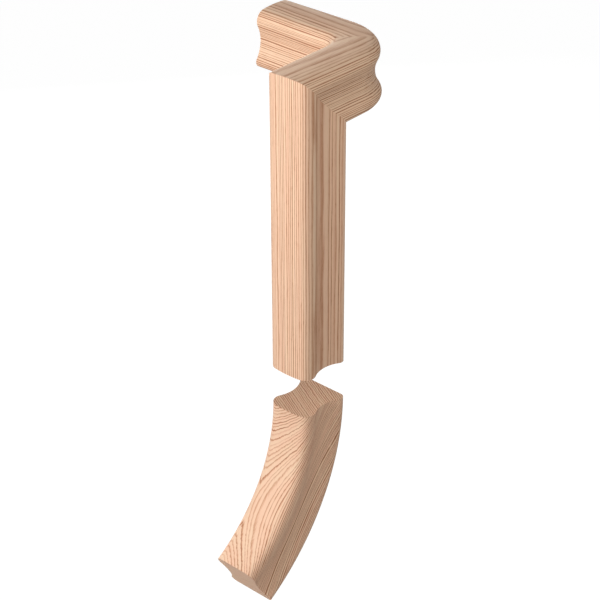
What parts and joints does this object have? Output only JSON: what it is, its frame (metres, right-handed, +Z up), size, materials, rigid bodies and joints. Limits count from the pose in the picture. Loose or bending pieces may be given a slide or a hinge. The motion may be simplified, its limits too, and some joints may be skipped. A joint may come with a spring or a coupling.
{
  "type": "handrail gooseneck fitting",
  "caption": "Left-hand quarter-turn handrail gooseneck in unfinished oak: mitred upright stem, level leg with rounded turn, and a loose curved easing below.",
  "frame": {"origin": "centre of the square end of the turn leg, where the level handrail joins", "axes": "+Y out of that end along the level handrail, +Z up, +X along the level leg, away from the stem"},
  "size_m": [0.2633, 0.1686, 0.6265],
  "materials": {
    "stem_oak": "unfinished, fine sanded",
    "level_leg_oak": "unfinished, fine sanded",
    "turn_leg_oak": "unfinished, fine sanded",
    "easing_oak": "unfinished, fine sanded",
    "dowel_beech": "unfinished"
  },
  "bodies": {
    "root": {"stem": "stem_oak", "level_leg": "level_leg_oak", "turn_leg": "turn_leg_oak", "easing": "easing_oak", "stem_dowel_left": "dowel_beech", "stem_dowel_right": "dowel_beech", "turn_dowel_upper": "dowel_beech", "turn_dowel_lower": "dowel_beech"}
  },
  "joints": []
}
